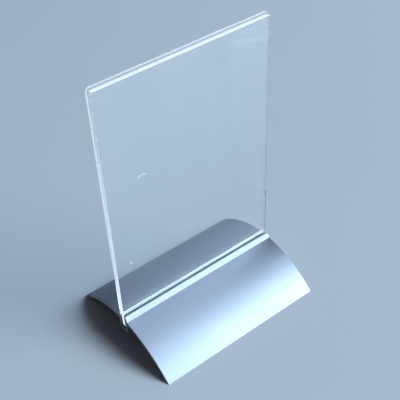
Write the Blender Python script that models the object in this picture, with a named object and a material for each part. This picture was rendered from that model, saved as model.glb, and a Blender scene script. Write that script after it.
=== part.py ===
"""Table-top sign stand: two clear panes held upright by an arched aluminium base.

Metres, +Z up. X runs along the slot, -Y is the side a reader faces. The origin is
the middle of the base on the surface that it stands on.

    base_profile   one aluminium extrusion: arch, two raised lips and a channel
    slot_gasket    soft U-shaped strip in the channel, which grips the front pane
    front_pane     thick clear pane, standing in the gasket
    back_pane      thin clear pane, standing on the rear lip
    bond_strip     clear strip between the two panes, along the back pane's foot
"""

import math

import bmesh
import bpy
from mathutils import Vector

# Base extrusion, as long as the panes are wide plus an overhang at each end
BASE_OVERHANG = 0.00025
BASE_DEPTH = 0.0842  # along Y, over the two toes
CROWN_HEIGHT = 0.0171  # top of the arch at its middle, without the lips
ARCH_WALL = 0.0020
LIP_HEIGHT = 0.0026  # of the lips above the crown
LIP_TOP = 0.0011  # width of each lip's flat top
LIP_FOOT = 0.0020  # width of each lip where it leaves the arch
SLOT_DEPTH = 0.0110  # from the lips' tops to the channel's floor
CHANNEL_WALL = 0.0015
CHANNEL_FLOOR = 0.0015

# Soft strip in the channel
GASKET_WALL = 0.0007
GASKET_HEIGHT = 0.0099
GASKET_RECESS = 0.0005  # from each end of the base

# Panes
PANE_WIDTH = 0.1050
PANE_CORNER = 0.0018  # radius of the corners
PANE_ARRIS = 0.0002  # chamfer along the cut edges
FRONT_PANE_THICKNESS = 0.0020
FRONT_PANE_HEIGHT = 0.1570
BACK_PANE_THICKNESS = 0.0011
BACK_PANE_HEIGHT = 0.1480

# Strip that joins the panes
BOND_THICKNESS = 0.0002
BOND_HEIGHT = 0.0030
BOND_INSET = 0.0020  # from the back pane's ends
BOND_RISE = 0.0005  # above the back pane's foot

# Clearances
SEAT_GAP = 0.0003  # between pieces that rest on or in each other
BOND_GAP = 0.0002  # between the strip and each pane

# Fineness of the curves
ARCH_STEPS = 16  # over each wing
CORNER_STEPS = 5

# Sizes that follow from the ones above
BASE_LENGTH = PANE_WIDTH + 2 * BASE_OVERHANG
LIP_TOP_Z = CROWN_HEIGHT + LIP_HEIGHT
SLOT_FLOOR_Z = LIP_TOP_Z - SLOT_DEPTH
CHANNEL_FOOT_Z = SLOT_FLOOR_Z - CHANNEL_FLOOR
SLOT_WIDTH = FRONT_PANE_THICKNESS + 2 * (GASKET_WALL + 2 * SEAT_GAP)
GASKET_FOOT_Z = SLOT_FLOOR_Z + SEAT_GAP
FRONT_PANE_FOOT_Z = GASKET_FOOT_Z + GASKET_WALL + SEAT_GAP
BACK_PANE_FOOT_Z = LIP_TOP_Z + SEAT_GAP
PANE_SPACE = BOND_THICKNESS + 2 * BOND_GAP  # free space between the two panes


def clear_scene():
    for thing in list(bpy.data.objects):
        bpy.data.objects.remove(thing, do_unlink=True)


def make_material(name, colour, roughness, metallic=0.0, transmission=0.0):
    material = bpy.data.materials.new(name)
    material.use_nodes = True
    shader = material.node_tree.nodes["Principled BSDF"]
    shader.inputs["Base Color"].default_value = (*colour, 1.0)
    shader.inputs["Roughness"].default_value = roughness
    shader.inputs["Metallic"].default_value = metallic
    shader.inputs["Transmission Weight"].default_value = transmission
    return material


def sweep_outline(name, corners, sweep, material):
    """A closed solid: the flat outline through the corners, extruded by the sweep."""
    shape = bmesh.new()
    cap = shape.faces.new([shape.verts.new(corner) for corner in corners])
    swept = bmesh.ops.extrude_face_region(shape, geom=[cap])
    moved = [item for item in swept["geom"] if isinstance(item, bmesh.types.BMVert)]
    bmesh.ops.translate(shape, verts=moved, vec=sweep)
    bmesh.ops.recalc_face_normals(shape, faces=shape.faces)
    mesh = bpy.data.meshes.new(name)
    shape.to_mesh(mesh)
    shape.free()
    mesh.materials.append(material)
    mesh.shade_smooth()
    mesh.set_sharp_from_angle(angle=math.radians(25))
    piece = bpy.data.objects.new(name, mesh)
    bpy.context.collection.objects.link(piece)
    return piece


def circle_arc(centre, radius, start, end, steps):
    """Points (across, up) along an arc, from the angle start to the angle end."""
    angles = [start + (end - start) * step / steps for step in range(steps + 1)]
    return [
        (centre[0] + radius * math.cos(angle), centre[1] + radius * math.sin(angle))
        for angle in angles
    ]


def arch_radius():
    """Radius of the circle through both toes and the crown."""
    return (BASE_DEPTH**2 / 4 + CROWN_HEIGHT**2) / (2 * CROWN_HEIGHT)


def arch_arc(radius, low_z, across):
    """One wing's arc about the arch's centre, from the height low_z to the place across."""
    centre = (0.0, CROWN_HEIGHT - arch_radius())
    start = math.asin((low_z - centre[1]) / radius)
    return circle_arc(centre, radius, start, math.acos(across / radius), ARCH_STEPS)


def base_half_outline():
    """The extrusion's rear half in (y, z), from the slot's floor round to the channel's foot."""
    slot_side = SLOT_WIDTH / 2
    outer = arch_arc(arch_radius(), 0.0, slot_side + LIP_FOOT)
    inner = arch_arc(arch_radius() - ARCH_WALL, 0.0, slot_side + CHANNEL_WALL)
    lip = [
        (slot_side, SLOT_FLOOR_Z),
        (slot_side, LIP_TOP_Z),
        (slot_side + LIP_TOP, LIP_TOP_Z),
    ]
    channel_foot = [(slot_side + CHANNEL_WALL, CHANNEL_FOOT_Z)]
    return lip + outer[::-1] + inner + channel_foot


def make_base(material):
    rear = base_half_outline()
    front = [(-across, up) for across, up in reversed(rear)]
    corners = [Vector((0.0, across, up)) for across, up in rear + front]
    piece = sweep_outline(
        "base_profile", corners, Vector((BASE_LENGTH, 0.0, 0.0)), material
    )
    piece.location = (-BASE_LENGTH / 2, 0.0, 0.0)


def make_gasket(material):
    outside = SLOT_WIDTH / 2 - SEAT_GAP
    inside = outside - GASKET_WALL
    rear = [(outside, 0.0), (outside, GASKET_HEIGHT), (inside, GASKET_HEIGHT)]
    rear.append((inside, GASKET_WALL))
    front = [(-across, up) for across, up in reversed(rear)]
    length = BASE_LENGTH - 2 * GASKET_RECESS
    corners = [Vector((0.0, across, up)) for across, up in rear + front]
    piece = sweep_outline("slot_gasket", corners, Vector((length, 0.0, 0.0)), material)
    piece.location = (-length / 2, 0.0, GASKET_FOOT_Z)


def rounded_rectangle(width, height, radius):
    """Outline (across, up) standing on its middle, anticlockwise from the right foot."""
    side = width / 2 - radius
    quarter = math.pi / 2
    centres = [(side, radius), (side, height - radius)]
    centres += [(-side, height - radius), (-side, radius)]
    outline = []
    for turn, centre in enumerate(centres, start=-1):
        start = turn * quarter
        outline += circle_arc(centre, radius, start, start + quarter, CORNER_STEPS)
    return outline


def make_sheet(name, size, radius, place, material):
    """An upright sheet of size (width, thickness, height); place is the foot of its front."""
    width, thickness, height = size
    outline = rounded_rectangle(width, height, radius)
    corners = [Vector((across, 0.0, up)) for across, up in outline]
    piece = sweep_outline(name, corners, Vector((0.0, thickness, 0.0)), material)
    piece.location = place
    return piece


def chamfer_arrises(piece):
    bevel = piece.modifiers.new("arris", "BEVEL")
    bevel.width = PANE_ARRIS
    bevel.segments = 1
    bevel.limit_method = "ANGLE"
    bevel.angle_limit = math.radians(60)


def make_pane_pack(clear, bond):
    """The two panes and the strip between them, which lift out of the base together."""
    pack = bpy.data.objects.new("pane_pack", None)
    pack.location = (0.0, 0.0, FRONT_PANE_FOOT_Z)
    bpy.context.collection.objects.link(pack)

    front_y = -FRONT_PANE_THICKNESS / 2
    back_y = FRONT_PANE_THICKNESS / 2 + PANE_SPACE
    back_rise = BACK_PANE_FOOT_Z - FRONT_PANE_FOOT_Z
    front = make_sheet(
        "front_pane",
        (PANE_WIDTH, FRONT_PANE_THICKNESS, FRONT_PANE_HEIGHT),
        PANE_CORNER,
        (0.0, front_y, 0.0),
        clear,
    )
    back = make_sheet(
        "back_pane",
        (PANE_WIDTH, BACK_PANE_THICKNESS, BACK_PANE_HEIGHT),
        PANE_CORNER,
        (0.0, back_y, back_rise),
        clear,
    )
    strip = make_sheet(
        "bond_strip",
        (PANE_WIDTH - 2 * BOND_INSET, BOND_THICKNESS, BOND_HEIGHT),
        BOND_HEIGHT / 4,
        (0.0, back_y - BOND_GAP - BOND_THICKNESS, back_rise + BOND_RISE),
        bond,
    )
    chamfer_arrises(front)
    chamfer_arrises(back)
    for piece in (front, back, strip):
        piece.parent = pack


def main():
    clear_scene()
    aluminium = make_material("satin_aluminium", (0.80, 0.82, 0.84), 0.32, metallic=1.0)
    soft = make_material("soft_milky_plastic", (0.86, 0.89, 0.91), 0.45)
    clear = make_material("clear_acrylic", (0.94, 0.97, 0.99), 0.03, transmission=1.0)
    bond = make_material("clear_bond", (0.93, 0.95, 0.97), 0.15, transmission=1.0)
    make_base(aluminium)
    make_gasket(soft)
    make_pane_pack(clear, bond)


main()
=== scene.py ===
# %% [markdown]
# # A table-top sign stand
#
# The stand is an arched aluminium base with a slot along its crown. A thick clear pane stands in
# the slot, held by a soft milky strip, and a thinner pane is taped behind it, so that a card can
# be slid in between. This lesson loads the working model as a fixed frame, builds a finely
# finished version of each piece around it, and lights it on a plain table.

# %% The frame
import math

import bmesh
import bpy
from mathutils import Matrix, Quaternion, Vector


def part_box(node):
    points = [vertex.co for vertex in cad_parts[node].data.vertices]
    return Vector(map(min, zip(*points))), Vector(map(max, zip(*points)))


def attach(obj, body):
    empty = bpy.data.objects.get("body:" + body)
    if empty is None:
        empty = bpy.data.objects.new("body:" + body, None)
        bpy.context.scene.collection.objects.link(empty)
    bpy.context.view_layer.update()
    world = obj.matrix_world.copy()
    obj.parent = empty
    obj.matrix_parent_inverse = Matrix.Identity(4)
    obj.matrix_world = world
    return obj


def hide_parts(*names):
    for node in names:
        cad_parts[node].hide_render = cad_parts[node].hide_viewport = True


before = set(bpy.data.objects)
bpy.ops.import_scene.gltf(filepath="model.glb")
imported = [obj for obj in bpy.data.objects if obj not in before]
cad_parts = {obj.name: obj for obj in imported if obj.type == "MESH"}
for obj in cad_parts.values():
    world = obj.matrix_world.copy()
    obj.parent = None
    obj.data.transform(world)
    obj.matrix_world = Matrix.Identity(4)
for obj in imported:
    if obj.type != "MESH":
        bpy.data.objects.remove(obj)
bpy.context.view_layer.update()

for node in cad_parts:
    low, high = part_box(node)
    print(f"{node}: {[round((b - a) * 1000, 2) for a, b in zip(low, high)]} mm")

# %% [markdown]
# ## Camera
#
# A camera can be placed by typing in coordinates, or by saying what it looks at, from how far and
# from which side. The second way is easier to read and to change. The lens is a long one, 70 mm
# on a 36 mm sensor, which keeps the lines of a small object close to parallel, and the camera
# leans a few degrees to one side, as it does in the hand.

# %% Camera
VIEW_TARGET = Vector((0.0259, 0.0289, 0.0406))
VIEW_DISTANCE = 0.4713
VIEW_HEADING = math.radians(36.25)  # turned from +Y towards +X
VIEW_HEIGHT = math.radians(41.43)  # above the table
VIEW_LEAN = math.radians(-2.76)
LENS_LENGTH = 70.04  # these two in millimetres
SENSOR_WIDTH = 36.0

looking = Vector((
    math.sin(VIEW_HEADING) * math.cos(VIEW_HEIGHT),
    math.cos(VIEW_HEADING) * math.cos(VIEW_HEIGHT),
    -math.sin(VIEW_HEIGHT),
))
bpy.ops.object.camera_add(location=VIEW_TARGET - looking * VIEW_DISTANCE)
camera = bpy.context.object
camera.name = "camera"
camera.data.lens = LENS_LENGTH
camera.data.sensor_width = SENSOR_WIDTH
camera.data.clip_start = 0.01
camera.rotation_mode = "QUATERNION"
camera.rotation_quaternion = looking.to_track_quat("-Z", "Y") @ Quaternion((0, 0, 1), VIEW_LEAN)
bpy.context.scene.camera = camera
bpy.context.view_layer.update()
print("camera at", [round(value, 4) for value in camera.location])
print("camera's axes", [[round(v, 4) for v in row] for row in camera.matrix_world.to_3x3()])

# %% [markdown]
# ## Working by hand, in code
#
# An operator works on whatever is selected, so each step starts by selecting nothing and then
# picking points, edges or faces by where they are. These helpers do the picking. A piece is
# started as an empty mesh at the world's origin and its primitive is added in edit mode, so that
# its place is in its mesh and the object itself is never moved, turned or scaled.

# %% Helpers for modelling
NEAR = 1e-5  # two places closer than this count as the same
MERGE = 1e-6  # points closer than this are merged


def start_piece(name):
    """An empty mesh object at the origin, open in edit mode."""
    bpy.ops.object.select_all(action="DESELECT")
    piece = bpy.data.objects.new(name, bpy.data.meshes.new(name))
    bpy.context.scene.collection.objects.link(piece)
    bpy.context.view_layer.objects.active = piece
    piece.select_set(True)
    bpy.ops.object.mode_set(mode="EDIT")
    return piece


def add_plane(centre, sizes):
    """Adds a flat rectangle to the open mesh. The size along the axis it faces is 0."""
    facing = sizes.index(0)
    turn = {0: (0, math.pi / 2, 0), 1: (math.pi / 2, 0, 0), 2: (0, 0, 0)}[facing]
    bpy.ops.mesh.primitive_plane_add(size=1, location=centre, rotation=turn)
    scale = [size or 1 for size in sizes]
    bpy.ops.transform.resize(value=scale, center_override=centre)


def pick(kind, test):
    """Selects only the points, edges or faces of the open mesh that pass the test."""
    mode = {"verts": "VERT", "edges": "EDGE", "faces": "FACE"}[kind]
    bpy.ops.mesh.select_all(action="DESELECT")
    bpy.ops.mesh.select_mode(type=mode)
    mesh = bpy.context.object.data
    shape = bmesh.from_edit_mesh(mesh)
    found = [item for item in getattr(shape, kind) if test(item)]
    for item in found:
        item.select_set(True)
    shape.select_flush_mode()
    bmesh.update_edit_mesh(mesh)
    return len(found)


def middle(item):
    return sum((corner.co for corner in item.verts), Vector()) / len(item.verts)


def runs_along(edge, axis):
    """True if the edge runs along that axis, 0 for X, 1 for Y and 2 for Z."""
    run = edge.verts[1].co - edge.verts[0].co
    return run.length - abs(run[axis]) < NEAR


def pick_crossings(places, axis=0):
    """Picks the edges along the axis that pass through these places in the other two."""
    others = [other for other in range(3) if other != axis]

    def passes(edge):
        place = [middle(edge)[other] for other in others]
        return runs_along(edge, axis) and any(math.dist(place, p) < NEAR for p in places)

    return pick("edges", passes)


def extrude(shift):
    bpy.ops.mesh.extrude_region_move(TRANSFORM_OT_translate={"value": shift})


def use_modifier(piece, kind, **settings):
    """Adds a modifier with these settings and applies it at once."""
    modifier = piece.modifiers.new(kind.lower(), kind)
    for key, value in settings.items():
        setattr(modifier, key, value)
    bpy.ops.object.modifier_apply(modifier=modifier.name)


def turn_outwards():
    """Merges doubles and points the open mesh's faces outwards: its volume is then positive."""
    bpy.ops.mesh.select_all(action="SELECT")
    bpy.ops.mesh.remove_doubles(threshold=MERGE)
    bpy.ops.mesh.normals_make_consistent(inside=False)
    if bmesh.from_edit_mesh(bpy.context.object.data).calc_volume(signed=True) < 0:
        bpy.ops.mesh.flip_normals()


def close_piece(sharp_angle=30):
    """Leaves edit mode with clean, outward faces, shaded smooth up to the angle in degrees."""
    turn_outwards()
    bpy.ops.object.mode_set(mode="OBJECT")
    bpy.ops.object.shade_smooth_by_angle(angle=math.radians(sharp_angle))
    piece = bpy.context.object
    use_modifier(piece, "WEIGHTED_NORMAL", keep_sharp=True, weight=100)
    sizes = [round(size * 1000, 2) for size in piece.dimensions]
    print(f"{piece.name}: {len(piece.data.polygons)} faces, {sizes} mm")


# %% [markdown]
# ## The arched base
#
# The real base is an extrusion: hot aluminium is pushed through a die whose opening is the
# section, and the bar is sawn to length. The model is made the same way. Half of the section is
# drawn as a strip of faces, from the channel's floor up its wall to the lip, and the wing is one
# short edge spun about the arch's centre. The half is mirrored, and the whole section is extruded
# once along X. The wings could also be cut from a pipe with booleans, but those leave untidy
# faces where the lips and the channel meet it.

# %% Sizes of the base
LIP_HEIGHT = 0.0026
LIP_TOP = 0.0011
LIP_FOOT = 0.0020
ARCH_WALL = 0.0020
CHANNEL_WALL = 0.0015
CHANNEL_FLOOR = 0.0015
SLOT_DEPTH = 0.0110
SEAT_GAP = 0.0003  # between the strip and the walls it lies against

base_low, base_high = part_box("base_profile")
gasket_low, gasket_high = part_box("slot_gasket")
lip_top_z = base_high.z
crown_z = lip_top_z - LIP_HEIGHT
slot_side = gasket_high.y + SEAT_GAP
slot_floor_z = lip_top_z - SLOT_DEPTH
arch_radius = (base_high.y**2 + crown_z**2) / (2 * crown_z)
arch_centre_z = crown_z - arch_radius
print(f"arch radius {arch_radius * 1000:.2f} mm, slot {slot_side * 2000:.2f} mm wide")


def arch_height(radius, across):
    """Height of the circle of that radius about the arch's centre, at the place across."""
    return arch_centre_z + math.sqrt(radius**2 - across**2)


# %% Half of the section, from the channel's floor up to the lip
base = start_piece("arched_base")
add_plane(
    (base_low.x, slot_side + CHANNEL_WALL / 2, slot_floor_z - CHANNEL_FLOOR / 2),
    (0, CHANNEL_WALL, CHANNEL_FLOOR),
)
pick("edges", lambda edge: abs(middle(edge).y - slot_side) < NEAR)
extrude((0, -slot_side, 0))

root_inner_z = arch_height(arch_radius - ARCH_WALL, slot_side + CHANNEL_WALL)
root_outer_z = arch_height(arch_radius, slot_side + LIP_FOOT)
rises = (
    (slot_floor_z, root_inner_z, 0.0),
    (root_inner_z, root_outer_z, LIP_FOOT - CHANNEL_WALL),
    (root_outer_z, lip_top_z, LIP_TOP - LIP_FOOT),
)
for low_z, high_z, widening in rises:
    pick(
        "edges",
        lambda edge: runs_along(edge, 1)
        and abs(middle(edge).z - low_z) < NEAR
        and middle(edge).y > slot_side,
    )
    extrude((0, 0, high_z - low_z))
    pick("verts", lambda v: abs(v.co.z - high_z) < NEAR and v.co.y > slot_side + NEAR)
    bpy.ops.transform.translate(value=(0, widening, 0))
print("half section without its wing:", len(bmesh.from_edit_mesh(base.data).faces), "faces")

# %% [markdown]
# The edge that joins the lip's foot to the channel's wall is the wing's root. Spun about the
# arch's centre, its two ends draw the wing's upper and lower faces at their own radii, and the
# plane of the table cuts off what was spun too far.

# %% The wing, spun from its root and cut off at the table
WING_STEPS = 60
WING_SWEEP = math.radians(42.3)

root_middle = Vector((
    base_low.x,
    slot_side + (CHANNEL_WALL + LIP_FOOT) / 2,
    (root_inner_z + root_outer_z) / 2,
))
pick("edges", lambda edge: (middle(edge) - root_middle).length < NEAR)
bpy.ops.mesh.spin(
    steps=WING_STEPS,
    angle=WING_SWEEP,
    center=(0, 0, arch_centre_z),
    axis=(1, 0, 0),
)
pick("faces", lambda face: middle(face).y > slot_side + LIP_FOOT)
bpy.ops.mesh.bisect(
    plane_co=(0, 0, 0), plane_no=(0, 0, 1), clear_inner=True, threshold=MERGE
)
print("wing reaches", round(max(v.co.y for v in bmesh.from_edit_mesh(base.data).verts) * 1000, 2))

# %% The whole section, extruded to length
bpy.ops.object.mode_set(mode="OBJECT")
use_modifier(base, "MIRROR", use_axis=(False, True, False), merge_threshold=MERGE)
bpy.ops.object.mode_set(mode="EDIT")
bpy.ops.mesh.select_all(action="SELECT")
bpy.ops.mesh.remove_doubles(threshold=MERGE)
extrude((base_high.x - base_low.x, 0, 0))
turn_outwards()
print(f"section extruded to {(base_high.x - base_low.x) * 1000:.1f} mm")

# %% [markdown]
# A die has no perfectly sharp corners, so each long corner of the bar is rounded by a few tenths
# of a millimetre. The bevel operator does this for the outer corners and the inner ones alike.
# The saw leaves sharper rims at both ends, which are only just broken with a file.

# %% Rounded long corners and broken rims
CORNER_ROUNDING = 0.00022
INNER_ROUNDING = 0.0004
RIM_BREAK = 0.00009

channel_side = slot_side + CHANNEL_WALL
toe_inner_y = math.sqrt((arch_radius - ARCH_WALL) ** 2 - arch_centre_z**2)
corners = [
    (slot_side, lip_top_z),
    (slot_side + LIP_TOP, lip_top_z),
    (channel_side, slot_floor_z - CHANNEL_FLOOR),
    (base_high.y, 0.0),
    (toe_inner_y, 0.0),
]
inner_corners = [
    (slot_side + LIP_FOOT, root_outer_z),
    (channel_side, root_inner_z),
    (slot_side, slot_floor_z),
]
for places, width in ((corners, CORNER_ROUNDING), (inner_corners, INNER_ROUNDING)):
    both_sides = places + [(-across, up) for across, up in places]
    print("corners found:", pick_crossings(both_sides), "of", len(both_sides))
    bpy.ops.mesh.bevel(offset=width, segments=3, profile=0.5, affect="EDGES")

pick("faces", lambda face: abs(abs(middle(face).x) - base_high.x) < NEAR)
bpy.ops.mesh.region_to_loop()
bpy.ops.mesh.bevel(offset=RIM_BREAK, segments=2, profile=0.5, affect="EDGES")
close_piece()

# %% [markdown]
# ## The gripping strip
#
# A soft, milky plastic strip lines the slot and holds the thick pane upright. It is an extrusion
# too: a channel with small ribs on each inner wall, which press on the real pane. Here they stop
# just short of it, so that the pane slides past them without cutting in. The strip is built as
# the base was, from half a section.

# %% Half of the strip's section, with its ribs
GASKET_WALL = 0.0007
RIB_HEIGHT = 0.00012
RIB_RISE = 0.0004
RIBS = 5
STRIP_ROUNDING = 0.00008

inner_side = gasket_high.y - GASKET_WALL
gasket = start_piece("gripping_strip")
add_plane(
    (gasket_low.x, inner_side + GASKET_WALL / 2, gasket_low.z + GASKET_WALL / 2),
    (0, GASKET_WALL, GASKET_WALL),
)
pick("edges", lambda edge: abs(middle(edge).y - inner_side) < NEAR)
extrude((0, -inner_side, 0))

height = gasket_low.z + GASKET_WALL
plain_rise = (gasket_high.z - height) / RIBS - 2 * RIB_RISE
for rise, shift in ((plain_rise, 0), (RIB_RISE, -RIB_HEIGHT), (RIB_RISE, RIB_HEIGHT)) * RIBS:
    pick(
        "edges",
        lambda edge: abs(middle(edge).z - height) < NEAR and middle(edge).y > inner_side,
    )
    extrude((0, 0, rise))
    height += rise
    pick(
        "verts",
        lambda v: abs(v.co.z - height) < NEAR and v.co.y < gasket_high.y - NEAR,
    )
    bpy.ops.transform.translate(value=(0, shift, 0))
print("half of the strip's section:", len(bmesh.from_edit_mesh(gasket.data).faces), "faces")

# %% The whole strip
bpy.ops.object.mode_set(mode="OBJECT")
use_modifier(gasket, "MIRROR", use_axis=(False, True, False), merge_threshold=MERGE)
bpy.ops.object.mode_set(mode="EDIT")
bpy.ops.mesh.select_all(action="SELECT")
bpy.ops.mesh.remove_doubles(threshold=MERGE)
extrude((gasket_high.x - gasket_low.x, 0, 0))
turn_outwards()
pick("edges", lambda edge: runs_along(edge, 0) and abs(middle(edge).y) > NEAR)
bpy.ops.mesh.bevel(offset=STRIP_ROUNDING, segments=2, profile=0.5, affect="EDGES")
close_piece(sharp_angle=50)

# %% [markdown]
# ## The two clear panes
#
# Each pane is sawn from clear acrylic sheet, its corners are rounded on a router, and its edges
# are left as the cutter made them, with the sharp arrises just broken. A plane stands in for the
# sheet's face: its four points are bevelled into round corners, it is extruded to the sheet's
# thickness, and the rims of both faces are bevelled. A rounded cube would be quicker, but it
# would round the thin edges as much as the corners.

# %% Panes
PANE_CORNER = 0.0018
ARRIS = 0.00022


def make_pane(name, node):
    low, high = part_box(node)
    pane = start_piece(name)
    centre = ((low.x + high.x) / 2, low.y, (low.z + high.z) / 2)
    add_plane(centre, (high.x - low.x, 0, high.z - low.z))
    bpy.ops.mesh.bevel(offset=PANE_CORNER, segments=10, profile=0.5, affect="VERTICES")
    bpy.ops.mesh.select_all(action="SELECT")
    extrude((0, high.y - low.y, 0))
    turn_outwards()
    pick("faces", lambda face: abs(face.normal.y) > 0.9)
    bpy.ops.mesh.region_to_loop()
    bpy.ops.mesh.bevel(offset=ARRIS, segments=3, profile=0.5, affect="EDGES")
    close_piece(sharp_angle=35)
    return pane


front_pane = make_pane("thick_clear_pane", "front_pane")
back_pane = make_pane("thin_clear_pane", "back_pane")

# %% [markdown]
# ## The clear tape
#
# A narrow strip of clear double-sided tape joins the panes along the foot of the thin one. Tape
# is cut by hand and pressed down, so its long edges are never quite straight: they are divided
# into short lengths, shaken a little with a fixed seed, and flattened again before the strip gets
# its thickness.

# %% Tape
TAPE_WAVER = 0.00012
TAPE_MARGIN = 0.0004  # left free in length and height, so that a wavering edge stays inside
TAPE_CUTS = 90

tape_low, tape_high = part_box("bond_strip")
tape = start_piece("clear_tape")
tape_centre = (tape_low + tape_high) / 2
tape_centre.y = tape_low.y
add_plane(
    tape_centre,
    (tape_high.x - tape_low.x - TAPE_MARGIN, 0, tape_high.z - tape_low.z - TAPE_MARGIN),
)
pick("edges", lambda edge: runs_along(edge, 0))
bpy.ops.mesh.subdivide(number_cuts=TAPE_CUTS)
bpy.ops.mesh.select_all(action="SELECT")
bpy.ops.transform.vertex_random(offset=TAPE_WAVER, uniform=1.0, normal=0.0, seed=4)
bpy.ops.transform.resize(value=(1, 0, 1), center_override=tape_centre)
print("tape's faces before it gets its thickness:", len(bmesh.from_edit_mesh(tape.data).faces))
bpy.ops.mesh.select_all(action="SELECT")
extrude((0, tape_high.y - tape_low.y, 0))
close_piece(sharp_angle=40)

# %% [markdown]
# ## Finishes
#
# Every finish is a graph of nodes that reads Object coordinates, which are metres here because
# the pieces are modelled in place. A helper adds a node, fills in its inputs and returns one of
# its outputs, so that a graph reads like a sum. Where a value is the same all over a surface it
# is set on the shader itself, and only what varies is linked.

# %% Helpers for finishes


def start_finish(name, **settings):
    """A material with one shader, whose inputs are set by name."""
    finish = bpy.data.materials.new(name)
    finish.use_nodes = True
    shader = finish.node_tree.nodes["Principled BSDF"]
    for key, value in settings.items():
        shader.inputs[key.replace("_", " ")].default_value = value
    return finish, shader


def add_node(tree, kind, inputs=None, output=0, **settings):
    """Adds a node, sets or links its inputs, and returns one of its outputs."""
    node = tree.nodes.new("ShaderNode" + kind)
    for key, value in settings.items():
        setattr(node, key, value)
    for key, value in (inputs or {}).items():
        if isinstance(value, bpy.types.NodeSocket):
            tree.links.new(value, node.inputs[key])
        else:
            node.inputs[key].default_value = value
    return node.outputs[output]


def calculate(tree, operation, *values):
    return add_node(tree, "Math", dict(enumerate(values)), operation=operation)


def spread(tree, value, low, high, new_low=0.0, new_high=1.0):
    """Takes a value that lies between low and high to between new_low and new_high."""
    inputs = {"Value": value, "From Min": low, "From Max": high}
    inputs |= {"To Min": new_low, "To Max": new_high}
    return add_node(tree, "MapRange", inputs, clamp=True)


def noise(tree, place, size, stretch=(1, 1, 1), detail=2.0, seed=0.0):
    """Noise whose blotches are about size metres wide, more along an axis that is stretched."""
    scale = [1 / (size * factor) for factor in stretch]
    mapped = add_node(tree, "Mapping", {"Vector": place, "Scale": scale})
    inputs = {"Vector": mapped, "W": seed, "Scale": 1.0, "Detail": detail}
    return add_node(tree, "TexNoise", inputs, noise_dimensions="4D")


def blend_colours(tree, factor, first, second):
    node = tree.nodes.new("ShaderNodeMix")
    node.data_type = "RGBA"
    for socket, value in (("Factor_Float", factor), ("A_Color", first), ("B_Color", second)):
        target = next(s for s in node.inputs if s.identifier == socket)
        if isinstance(value, bpy.types.NodeSocket):
            tree.links.new(value, target)
        else:
            target.default_value = value
    return next(s for s in node.outputs if s.identifier == "Result_Color")


def link(tree, value, shader, name):
    tree.links.new(value, shader.inputs[name])


def split_axes(tree, place):
    """The three outputs across X, Y and Z of one place."""
    parts = tree.nodes.new("ShaderNodeSeparateXYZ")
    tree.links.new(place, parts.inputs[0])
    return parts.outputs


def let_light_through(tree, shader, tint):
    """Lets shadow and diffuse rays pass each surface unbent, with this tint."""
    seen = shader.outputs[0]
    for kind_of_ray in ("Is Shadow Ray", "Is Diffuse Ray"):
        path = tree.nodes.new("ShaderNodeLightPath")
        clear = add_node(tree, "BsdfTransparent", {"Color": tint})
        mix = tree.nodes.new("ShaderNodeMixShader")
        for end, socket in zip(mix.inputs, (path.outputs[kind_of_ray], seen, clear)):
            tree.links.new(socket, end)
        seen = mix.outputs[0]
    tree.links.new(seen, tree.nodes["Material Output"].inputs["Surface"])


# %% [markdown]
# ### Satin anodised aluminium
#
# The bar is etched matt and then anodised, which gives an even satin with a grain too fine to
# feel, over the faint long lines that the die drew along it. The grain and the lines are bump,
# the anodising varies a little in shade and gloss from place to place, and the sharpest corners,
# where hands and tables rub, are brighter. The sawn ends are paler and duller and carry the
# blade's marks across them.
#
# A real bar is one colour. Two masks here depart from that and paint light onto the bar, to bring
# it under this one lamp to the brightness wanted: the front wing is painted paler from its root
# to its toe, and the slopes and inner walls of the lips are painted nearly white, a painted
# highlight.
# Whoever lights the stand in another way may want to take them out.

# %% Aluminium: patterns, and where it is sawn or rubbed
SAWN_FROM = 0.00012  # from the bar's end, where the sawn finish sets in
SAWN_FULL = 0.00002  # and where it is complete

aluminium, shader = start_finish("satin_aluminium", Metallic=1.0)
tree = aluminium.node_tree
place = add_node(tree, "TexCoord", output=3)
die_lines = noise(tree, place, 0.0003, stretch=(220, 1, 1), detail=3.0)
grain = noise(tree, place, 0.00016, detail=2.0, seed=3.0)
clouds = noise(tree, place, 0.016, stretch=(2.2, 1, 1), detail=3.0, seed=7.0)
blade_marks = noise(tree, place, 0.00025, stretch=(1, 1, 16), detail=2.0, seed=11.0)

x, y, z = split_axes(tree, place)
from_middle = calculate(tree, "ABSOLUTE", x)
sawn_end = spread(tree, from_middle, base_high.x - SAWN_FROM, base_high.x - SAWN_FULL)
pointiness = add_node(tree, "NewGeometry", output=7)
rubbed = spread(tree, pointiness, 0.60, 0.70)
rubbed = calculate(tree, "MULTIPLY", rubbed, spread(tree, clouds, 0.35, 0.6, 0.35, 1.0))
print(f"the sawn finish reaches {SAWN_FROM * 1000:.2f} mm in from each end")

# %% Aluminium: shade
LIP_RISE = 0.00015  # the lips' painted highlight sets in over this height, up to the crown
PLAIN_AT = 0.0003  # from the slot's wall to the middle of the plain strip on each lip's top
PLAIN_HALF = 0.00015  # half that strip's width
PLAIN_FADE = 0.0001

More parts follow.
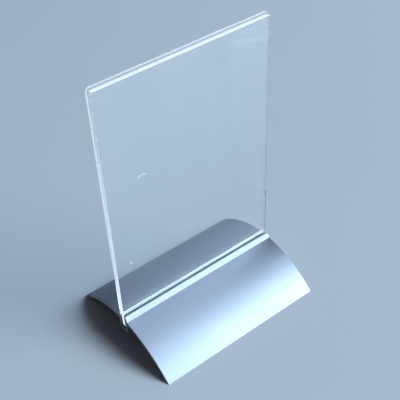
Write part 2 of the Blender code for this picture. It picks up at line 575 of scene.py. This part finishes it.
shade = blend_colours(tree, clouds, (0.31, 0.32, 0.395, 1), (0.35, 0.36, 0.435, 1))
# Painted light: the front wing is painted paler from its root to its toe.
front_painted_light = spread(tree, y, -slot_side, base_low.y)
shade = blend_colours(tree, front_painted_light, shade, (0.60, 0.64, 0.74, 1))
shade = blend_colours(tree, rubbed, shade, (0.80, 0.84, 0.90, 1))
on_lip = spread(tree, z, crown_z - LIP_RISE, crown_z)
from_slot = calculate(tree, "ABSOLUTE", y)
from_plain = calculate(tree, "SUBTRACT", from_slot, slot_side + PLAIN_AT)
from_plain = calculate(tree, "ABSOLUTE", from_plain)
off_top = spread(tree, from_plain, PLAIN_HALF, PLAIN_HALF + PLAIN_FADE)
# Painted highlight: the slopes and inner walls of the lips are painted nearly white.
lip_painted_highlight = calculate(tree, "MULTIPLY", on_lip, off_top)
shade = blend_colours(tree, lip_painted_highlight, shade, (0.93, 0.97, 1.0, 1))
shade = blend_colours(tree, sawn_end, shade, (0.45, 0.48, 0.54, 1))
link(tree, shade, shader, "Base Color")
print(f"{PLAIN_HALF * 2000:.1f} mm of each lip's top keeps the bar's own shade")

# %% Aluminium: gloss and relief
gloss = spread(tree, clouds, 0.3, 0.7, 0.60, 0.64)
gloss = calculate(tree, "ADD", gloss, spread(tree, die_lines, 0.3, 0.7, -0.02, 0.02))
gloss = calculate(tree, "SUBTRACT", gloss, calculate(tree, "MULTIPLY", rubbed, 0.1))
gloss = calculate(tree, "ADD", gloss, calculate(tree, "MULTIPLY", sawn_end, 0.12))
gloss = calculate(tree, "ADD", gloss, calculate(tree, "MULTIPLY", lip_painted_highlight, 0.14))
link(tree, gloss, shader, "Roughness")

long_marks = calculate(tree, "ADD", die_lines, calculate(tree, "MULTIPLY", grain, 0.6))
end_marks = calculate(tree, "MULTIPLY", blade_marks, 2.5)
relief = add_node(tree, "Mix", {"Factor": sawn_end, "A": long_marks, "B": end_marks})
relief = add_node(tree, "Bump", {"Strength": 0.35, "Distance": 0.00002, "Height": relief})
link(tree, relief, shader, "Normal")
base.data.materials.append(aluminium)
print(f"{aluminium.name}: {len(tree.nodes)} nodes")

# %% [markdown]
# ### Milky soft plastic
#
# Soft vinyl lets light in, scatters it and lets it out again a little way off, so it looks lit
# from inside. A little transmission under a rough surface gives that at the thickness of this
# strip. It is faintly cloudy, has lines along it from the die, and holds specks of dust.
#
# Only its uppermost millimetre is drawn so. Below that the strip is painted nearly black: painted
# shade, which stands for the dark gap that is seen beside a pane in a narrow slot. The real strip
# is most likely milky all the way down.

# %% Soft plastic
PAINTED_SHADE_FROM = 0.0008  # below the strip's top, where the painted shade sets in
PAINTED_SHADE_FULL = 0.0010  # and where it hides the plastic

soft_plastic, shader = start_finish("milky_soft_plastic", IOR=1.53)
tree = soft_plastic.node_tree
place = add_node(tree, "TexCoord", output=3)
cloud = noise(tree, place, 0.004, stretch=(3, 1, 1), detail=3.0)
skin = noise(tree, place, 0.00012, stretch=(12, 1, 1), detail=2.0, seed=5.0)
dust = spread(tree, noise(tree, place, 0.0005, detail=1.0, seed=9.0), 0.68, 0.74)
height = add_node(tree, "SeparateXYZ", {"Vector": place}, output=2)
# Painted shade: below its top millimetre the strip is painted nearly black.
slot_painted_shade = spread(tree, height, gasket_high.z - PAINTED_SHADE_FROM, gasket_high.z - PAINTED_SHADE_FULL)
shade = blend_colours(tree, cloud, (0.90, 0.94, 0.96, 1), (0.95, 0.98, 1.0, 1))
shade = blend_colours(tree, dust, shade, (0.45, 0.44, 0.42, 1))
shade = blend_colours(tree, slot_painted_shade, shade, (0.015, 0.025, 0.04, 1))
link(tree, shade, shader, "Base Color")
link(tree, spread(tree, cloud, 0.3, 0.7, 0.02, 0.08), shader, "Transmission Weight")
link(tree, spread(tree, cloud, 0.3, 0.7, 0.35, 0.5), shader, "Roughness")
relief = add_node(tree, "Bump", {"Strength": 0.4, "Distance": 0.00003, "Height": skin})
link(tree, relief, shader, "Normal")
gasket.data.materials.append(soft_plastic)
print(f"{soft_plastic.name}: {len(tree.nodes)} nodes")

# %% [markdown]
# ### Clear acrylic
#
# The faces of a cast acrylic sheet are as smooth as glass, so most of the look comes from
# refraction: an index of 1.49 and hardly any colour. What tells it from glass is use. It picks up
# faint hazy wipes, hairline scratches and the odd white nick, which are drawn here as places
# where the sheet is a little less clear. The nicks are short arcs on the front face of the thick
# pane. The haze is nil at the lips and grows up to the top, where a smear is left near the right
# corner.
#
# In a path tracer a refracting surface stops the shadow rays that look for the lamp. What is
# behind it is then lit only when a diffuse ray happens to be bent into the lamp, which is slow
# and noisy. Here each surface is transparent, with a slight tint, for shadow rays and diffuse
# rays, and refracts all others. Both kinds have to pass: if only shadow rays did, the lamp would
# count twice, once straight and once bent. It isn't exact, as that light is never bent at all.

# %% Clear sheet and its nicks
ACRYLIC_INDEX = 1.49  # of refraction
NICKS = (  # middle across and up, radius, start and end of the arc in radians
    (-0.0307, 0.1067, 0.0032, 0.6, 2.5),
    (-0.0443, 0.0557, 0.0013, -0.6, 1.4),
)
NICK_WIDTH = 0.0004
NICK_TAPER = 0.15  # radians over which an arc fades at each end
NICK_DEPTH = 0.0001  # behind the front face, where the nicks stop

clear_sheet, shader = start_finish(
    "clear_acrylic_sheet", Base_Color=(0.985, 0.992, 1.0, 1), IOR=ACRYLIC_INDEX
)
tree = clear_sheet.node_tree
place = add_node(tree, "TexCoord", output=3)
x, y, z = split_axes(tree, place)
pane_low, pane_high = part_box("front_pane")

nicks = 0.0
for middle_x, middle_z, radius, start, end in NICKS:
    away_x = calculate(tree, "SUBTRACT", x, middle_x)
    away_z = calculate(tree, "SUBTRACT", z, middle_z)
    squares = [calculate(tree, "MULTIPLY", side, side) for side in (away_x, away_z)]
    distance = calculate(tree, "SQRT", calculate(tree, "ADD", *squares))
    off_arc = calculate(tree, "ABSOLUTE", calculate(tree, "SUBTRACT", distance, radius))
    nick = spread(tree, off_arc, NICK_WIDTH, NICK_WIDTH / 2)
    turn = calculate(tree, "ARCTAN2", away_z, away_x)
    past_start = spread(tree, turn, start, start + NICK_TAPER)
    before_end = spread(tree, turn, end, end - NICK_TAPER)
    for mask in (past_start, before_end):
        nick = calculate(tree, "MULTIPLY", nick, mask)
    nicks = calculate(tree, "MAXIMUM", nicks, nick)
on_front = spread(tree, y, pane_low.y + 2 * NICK_DEPTH, pane_low.y + NICK_DEPTH)
nicks = calculate(tree, "MULTIPLY", nicks, on_front)
print(len(NICKS), "nicks on the front face")

# %% Haze, smear and hairlines
HAZE_AT_TOP = 0.08  # this and the next two are shares of the clearness that is lost
SMEAR_LOSS = 0.14
HAIRLINE_LOSS = 0.12
SMEAR_ACROSS = (0.012, 0.042)  # the smear sets in between these two, towards the right
SMEAR_UP = (0.022, 0.008)  # and between these two below the top

wipes = noise(tree, place, 0.03, stretch=(0.6, 1, 1.6), detail=2.0, seed=2.0)
haze = spread(tree, z, base_high.z, pane_high.z, 0.0, HAZE_AT_TOP)
haze = calculate(tree, "MULTIPLY", haze, spread(tree, wipes, 0.3, 0.8, 0.8, 1.2))
smear_x = spread(tree, x, *SMEAR_ACROSS)
smear_z = spread(tree, z, *(pane_high.z - down for down in SMEAR_UP))
smear = calculate(tree, "MULTIPLY", smear_x, smear_z)
streaks = noise(tree, place, 0.004, stretch=(4, 1, 0.8), detail=3.0, seed=12.0)
streaks = spread(tree, streaks, 0.45, 0.7, 0.0, SMEAR_LOSS)
haze = calculate(tree, "ADD", haze, calculate(tree, "MULTIPLY", smear, streaks))
hairlines = noise(tree, place, 0.00025, stretch=(1, 4, 60), detail=1.0, seed=6.0)
hairlines = spread(tree, hairlines, 0.74, 0.78, 0.0, HAIRLINE_LOSS)
unclear = calculate(tree, "MAXIMUM", calculate(tree, "MAXIMUM", nicks, haze), hairlines)
link(tree, calculate(tree, "SUBTRACT", 1.0, unclear), shader, "Transmission Weight")
link(tree, spread(tree, wipes, 0.5, 0.9, 0.0, 0.05), shader, "Roughness")
let_light_through(tree, shader, (0.93, 0.945, 0.955, 1))
print(f"{clear_sheet.name}: {len(tree.nodes)} nodes")

# %% [markdown]
# ### Cut edges
#
# The cutter leaves the edges of the sheet finely ribbed, so they scatter the light that travels
# inside it and are brighter than anything around them. The path tracer finds too little of that
# light, and a glow of the edges' own stands in for the rest. In a dark room they would shine by
# themselves, which real ones don't.
#
# The glow isn't the same on every edge. Masks by place leave hardly any on the right edges, let
# the thick pane's left edge fade on its way up, and dim the thin pane's edges.

# %% Cut edge
EDGE_GLOW = 0.6
RIGHT_STEP = (0.0012, 0.0002)  # in from the right side, between which its mask sets in
TOP_STEP = (0.0002, 0.0008)  # below the top, the same for the right edge's upper end
LEFT_STEP = (0.0012, 0.0003)  # in from the left side
THIN_STEP = 0.0002  # behind the thick pane
FADE_FOOT = 0.06  # above the thick pane's foot, where its left edge begins to fade
FADE_AT_TOP = 0.7  # this and the next two are shares of the glow that are taken away
THIN_TOP_LOSS = 0.42
THIN_LEFT_LOSS = 0.1

cut_edge, shader = start_finish(
    "cut_acrylic_edge",
    Base_Color=(0.97, 0.99, 1.0, 1),
    IOR=ACRYLIC_INDEX,
    Transmission_Weight=0.6,
    Emission_Strength=EDGE_GLOW,
)
tree = cut_edge.node_tree
place = add_node(tree, "TexCoord", output=3)
ribs = noise(tree, place, 0.0002, stretch=(1, 25, 1), detail=2.0, seed=4.0)
patches = noise(tree, place, 0.006, detail=2.0, seed=8.0)
x, y, z = split_axes(tree, place)

right = spread(tree, x, *(pane_high.x - inwards for inwards in RIGHT_STEP))
below_top = spread(tree, z, *(pane_high.z - down for down in TOP_STEP))
right_loss = calculate(tree, "MULTIPLY", right, below_top)
left = spread(tree, x, *(pane_low.x + inwards for inwards in LEFT_STEP))
fade = spread(tree, z, pane_low.z + FADE_FOOT, pane_high.z, 0.0, FADE_AT_TOP)
thick_loss = calculate(tree, "MULTIPLY", left, fade)
thin_loss = spread(tree, left, 0.0, 1.0, THIN_TOP_LOSS, THIN_LEFT_LOSS)
thin = spread(tree, y, pane_high.y, pane_high.y + THIN_STEP)
other_loss = add_node(tree, "Mix", {"Factor": thin, "A": thick_loss, "B": thin_loss})
loss = calculate(tree, "MAXIMUM", right_loss, other_loss)
glow = blend_colours(tree, patches, (0.70, 0.82, 0.97, 1), (0.86, 0.93, 1.0, 1))
glow = blend_colours(tree, loss, glow, (0.04, 0.05, 0.06, 1))
link(tree, glow, shader, "Emission Color")
link(tree, spread(tree, patches, 0.3, 0.7, 0.25, 0.45), shader, "Roughness")
relief = add_node(tree, "Bump", {"Strength": 0.5, "Distance": 0.00004, "Height": ribs})
link(tree, relief, shader, "Normal")
let_light_through(tree, shader, (0.9, 0.92, 0.93, 1))
print(f"{cut_edge.name}: {len(tree.nodes)} nodes")

# %% [markdown]
# Both finishes go on each pane. The flat sides face along Y, and every face that doesn't is part
# of a cut edge or of its arris.

# %% Both finishes on each pane
for pane in (front_pane, back_pane):
    pane.data.materials.append(clear_sheet)
    pane.data.materials.append(cut_edge)
    for face in pane.data.polygons:
        face.material_index = int(abs(face.normal.y) < 0.999)
    edges = sum(face.material_index for face in pane.data.polygons)
    print(f"{pane.name}: {edges} of {len(pane.data.polygons)} faces are cut edge")

# %% [markdown]
# ### Clear tape
#
# Tape is a soft clear film. Pressed between two sheets it wets them in most places and traps
# small flat bubbles of air in others. Voronoi cells about a millimetre wide give the bubbles
# their places: the middle of each cell is a little paler, rougher and raised.

# %% Tape film
BUBBLES_PER_METRE = 900.0

film, shader = start_finish("clear_tape_film", IOR=1.46, Transmission_Weight=0.96)
tree = film.node_tree
place = add_node(tree, "TexCoord", output=3)
cells = add_node(tree, "TexVoronoi", {"Vector": place, "Scale": BUBBLES_PER_METRE})
bubble = spread(tree, cells, 0.16, 0.10)
shade = blend_colours(tree, bubble, (0.98, 0.99, 1.0, 1), (1.0, 1.0, 1.0, 1))
link(tree, shade, shader, "Base Color")
link(tree, spread(tree, bubble, 0.0, 1.0, 0.02, 0.15), shader, "Roughness")
relief = add_node(tree, "Bump", {"Strength": 0.15, "Distance": 0.00002, "Height": bubble})
link(tree, relief, shader, "Normal")
let_light_through(tree, shader, (0.95, 0.96, 0.97, 1))
tape.data.materials.append(film)
print(f"{film.name}: {len(tree.nodes)} nodes")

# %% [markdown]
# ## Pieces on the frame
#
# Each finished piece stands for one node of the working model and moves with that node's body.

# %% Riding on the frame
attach(base, "base")
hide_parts("base_profile")
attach(gasket, "base")
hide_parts("slot_gasket")
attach(front_pane, "pane_pack")
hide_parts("front_pane")
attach(back_pane, "pane_pack")
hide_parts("back_pane")
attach(tape, "pane_pack")
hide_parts("bond_strip")
print("on the frame:", [piece.name for piece in (base, gasket, front_pane, back_pane, tape)])

# %% [markdown]
# ## Table and light
#
# The table is one pale, matt board with a faint mottle. The main light is a large square lamp at
# the front and the right, like a window across the room: how large it looks from the stand sets
# how soft the shadows are. A dim dome fills them in. It is nearly black on the left and dark blue
# on the right, so that the satin metal has something to mirror on every side. With the lamp and
# the dome apart, the place of the shadows and their depth are set one by one, which one bright
# dome wouldn't allow.

# %% Table
FLOOR_SIZE = 6.0
FLOOR_CUTS = 12

bpy.ops.object.select_all(action="DESELECT")
bpy.ops.mesh.primitive_grid_add(
    x_subdivisions=FLOOR_CUTS, y_subdivisions=FLOOR_CUTS, size=FLOOR_SIZE
)
table = bpy.context.object
table.name = "table"
table_top, shader = start_finish("pale_table", Roughness=0.8, Specular_IOR_Level=0.2)
tree = table_top.node_tree
place = add_node(tree, "TexCoord", output=3)
mottle = noise(tree, place, 0.12, detail=3.0)
shade = blend_colours(tree, mottle, (0.715, 0.72, 0.77, 1), (0.735, 0.74, 0.79, 1))
link(tree, shade, shader, "Base Color")
table.data.materials.append(table_top)
print(f"{table.name}: {FLOOR_SIZE} m wide, {len(table.data.polygons)} faces")

# %% Window
WINDOW_SIDE = Vector((0.586, -0.586, 0.56)).normalized()
WINDOW_DISTANCE = 6.0
WINDOW_SIZE = 3.4
WINDOW_POWER = 455.0  # watts
WINDOW_COLOUR = (0.68, 0.87, 1.0)

bpy.ops.object.light_add(type="AREA", location=VIEW_TARGET + WINDOW_SIDE * WINDOW_DISTANCE)
window = bpy.context.object
window.name = "window"
window.data.size = WINDOW_SIZE
window.data.energy = WINDOW_POWER
window.data.color = WINDOW_COLOUR
window.rotation_mode = "QUATERNION"
window.rotation_quaternion = (-WINDOW_SIDE).to_track_quat("-Z", "Y")
window_angle = math.degrees(math.asin(WINDOW_SIDE.z))
print(f"window: {window_angle:.1f} degrees above the table")

# %% Light dome
DOME_TONES = (  # how far round from the left to the right, and the colour there
    (0.00, (0.05, 0.05, 0.05)),
    (0.50, (0.05, 0.055, 0.06)),
    (0.68, (0.07, 0.09, 0.12)),
    (0.85, (0.13, 0.18, 0.26)),
    (1.00, (0.18, 0.25, 0.36)),
)
world = bpy.data.worlds.new("light_dome")
bpy.context.scene.world = world
world.use_nodes = True
tree = world.node_tree
direction = add_node(tree, "TexCoord", output=0)
sideways = add_node(tree, "SeparateXYZ", {"Vector": direction})
ramp = tree.nodes.new("ShaderNodeValToRGB")
ramp.color_ramp.interpolation = "B_SPLINE"
tree.links.new(spread(tree, sideways, -1.0, 1.0), ramp.inputs[0])
tones = ramp.color_ramp.elements
while len(tones) < len(DOME_TONES):
    tones.new(0.5)
for tone, (position, colour) in zip(tones, DOME_TONES):
    tone.position = position
    tone.color = (*colour, 1)
tree.links.new(ramp.outputs[0], tree.nodes["Background"].inputs["Color"])
print("light dome:", len(tones), "tones from left to right")

# %% [markdown]
# Light crosses a sheet of acrylic many times between its faces before it leaves at an edge, so
# the path tracer is allowed many bounces. The picture is shown with plain contrast, which keeps
# the pale colours as they are.

# %% Light paths
CLEAR_BOUNCES = 48
OTHER_BOUNCES = 16

scene = bpy.context.scene
scene.cycles.max_bounces = CLEAR_BOUNCES
scene.cycles.transmission_bounces = CLEAR_BOUNCES
scene.cycles.glossy_bounces = OTHER_BOUNCES
scene.cycles.transparent_max_bounces = OTHER_BOUNCES
scene.view_settings.view_transform = "Standard"
print("bounces allowed:", CLEAR_BOUNCES)

# %% The end
bpy.context.view_layer.update()
